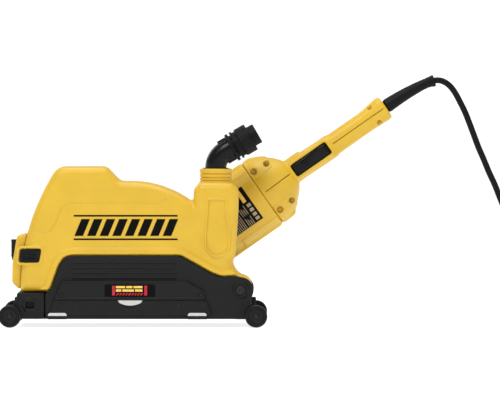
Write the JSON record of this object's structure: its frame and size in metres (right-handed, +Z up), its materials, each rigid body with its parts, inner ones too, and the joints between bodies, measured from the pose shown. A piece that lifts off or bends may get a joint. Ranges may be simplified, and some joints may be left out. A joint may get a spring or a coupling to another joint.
{
  "type": "wall chaser",
  "caption": "Plunging wall chaser: wheeled base, hinged dust hood with swivel hose outlet, and a large angle grinder clamped behind it, with mains cord.",
  "frame": {"origin": "on the floor, under the middle of the machine's box without the cord", "axes": "+X from the front wheels towards the handle, -Y out of the near side panel, +Z up"},
  "size_m": [0.8269, 0.1785, 0.3249],
  "materials": {
    "yellow_plastic": "satin moulded, fine texture",
    "black_plastic": "fine spark texture",
    "black_rubber": "matte",
    "steel": "zinc plated",
    "cast_aluminium": "shot blasted casting",
    "label_red": "printed film",
    "label_black": "printed film",
    "copper": "varnished winding",
    "brass": "plain",
    "carbon": "graphite"
  },
  "bodies": {
    "base": {"base_frame": "black_plastic", "near_panel": "black_plastic", "far_panel": "black_plastic", "cover_plate": "black_plastic", "panel_label": "label_red", "skirt_strip": "black_plastic", "skid_tabs": "steel", "base_screws": "steel", "front_guard": "black_plastic", "wheel_axles": "steel", "pivot_bolt": "steel", "pivot_spring": "steel", "cord": "black_rubber", "cord_coil": "black_rubber", "coil_tie": "black_rubber", "plug": "black_rubber"},
    "hood": {"hood_near": "yellow_plastic", "hood_far": "yellow_plastic", "front_cover": "yellow_plastic", "hood_screws": "steel", "hood_emblem": "black_plastic", "dust_tower": "yellow_plastic", "tower_collar": "yellow_plastic", "mount_clamp": "cast_aluminium", "gear_case": "cast_aluminium", "bearing_cover": "cast_aluminium", "spindle_bearing": "steel", "field_case": "yellow_plastic", "rear_near": "yellow_plastic", "rear_far": "yellow_plastic", "stator": "copper", "switch": "black_plastic", "return_springs": "steel", "cord_clamp": "black_plastic", "cord_boot": "black_rubber", "rating_label": "label_black", "housing_screws": "steel", "brush_holders": "brass", "carbon_brushes": "carbon", "armature_bearings": "steel"},
    "front_near_wheel": {"wheel_front_near": "black_rubber"},
    "front_far_wheel": {"wheel_front_far": "black_rubber"},
    "rear_near_wheel": {"wheel_rear_near": "black_rubber"},
    "rear_far_wheel": {"wheel_rear_far": "black_rubber"},
    "latch": {"latch_button": "black_plastic"},
    "depth_stop": {"depth_slider": "black_plastic"},
    "swivel_elbow": {"elbow": "black_plastic", "elbow_seal": "black_rubber", "elbow_flange": "black_plastic"},
    "connector": {"hose_connector": "black_plastic"},
    "trigger_lever": {"trigger": "black_plastic"},
    "lock_on": {"lock_button": "black_plastic"},
    "spindle_lock_pin": {"spindle_lock": "black_plastic"},
    "output": {"spindle": "steel", "crown_gear": "steel", "disc_flange": "steel", "disc_nut": "steel"},
    "rotor": {"armature": "copper", "fan": "black_plastic", "pinion": "steel"}
  },
  "joints": [
    {"name": "hood_hinge", "type": "hinge", "parent": "base", "child": "hood", "pos_m": [0.058, 0, 0.048], "axis": [0, 1, 0], "range_deg": [0, 26], "deforming": ["cord", "pivot_spring"]},
    {"name": "front_near_spin", "type": "hinge", "parent": "base", "child": "front_near_wheel", "pos_m": [-0.2405, 0, 0.0145], "axis": [0, 1, 0], "continuous": true},
    {"name": "front_far_spin", "type": "hinge", "parent": "base", "child": "front_far_wheel", "pos_m": [-0.2405, 0, 0.0145], "axis": [0, 1, 0], "continuous": true},
    {"name": "rear_near_spin", "type": "hinge", "parent": "base", "child": "rear_near_wheel", "pos_m": [0.078, 0, 0.0145], "axis": [0, 1, 0], "continuous": true},
    {"name": "rear_far_spin", "type": "hinge", "parent": "base", "child": "rear_far_wheel", "pos_m": [0.078, 0, 0.0145], "axis": [0, 1, 0], "continuous": true},
    {"name": "latch_press", "type": "slide", "parent": "hood", "child": "latch", "axis": [0, 1, 0], "range_m": [0, 0.003], "stiffness_N_per_m": 400, "springref_m": -0.001, "deforming": ["return_springs"]},
    {"name": "depth_slide", "type": "slide", "parent": "hood", "child": "depth_stop", "axis": [0, 0, 1], "range_m": [-0.022, 0.003]},
    {"name": "elbow_swivel", "type": "hinge", "parent": "hood", "child": "swivel_elbow", "pos_m": [0.0255, -0.042, 0.2], "axis": [0, 0, 1], "range_deg": [-180, 180]},
    {"name": "connector_spin", "type": "hinge", "parent": "swivel_elbow", "child": "connector", "pos_m": [0.06447, -0.042, 0.2422], "axis": [0.866, 0, 0.5], "continuous": true},
    {"name": "trigger_pull", "type": "hinge", "parent": "hood", "child": "trigger_lever", "pos_m": [0.13112, 0.0356, 0.20228], "axis": [-0.5736, 0, 0.8192], "range_deg": [0, 6], "stiffness_Nm_per_rad": 1.2, "springref_deg": -5.73, "deforming": ["return_springs"]},
    {"name": "lock_press", "type": "slide", "parent": "hood", "child": "lock_on", "axis": [0, -1, 0], "range_m": [0, 0.003], "stiffness_N_per_m": 300, "springref_m": -0.001},
    {"name": "spindle_lock_press", "type": "slide", "parent": "hood", "child": "spindle_lock_pin", "axis": [0, -1, 0], "range_m": [0, 0.006], "stiffness_N_per_m": 500, "springref_m": -0.001, "deforming": ["return_springs"]},
    {"name": "rotor_spin", "type": "hinge", "parent": "hood", "child": "rotor", "pos_m": [-0.0835, 0.042, 0.052], "axis": [0.8192, 0, 0.5736], "continuous": true},
    {"name": "spindle_spin", "type": "hinge", "parent": "hood", "child": "output", "pos_m": [-0.0835, 0.042, 0.052], "axis": [0, 1, 0], "continuous": true}
  ],
  "couplings": [
    {"joint": "spindle_spin", "follows": "rotor_spin", "ratio": 0.25}
  ]
}
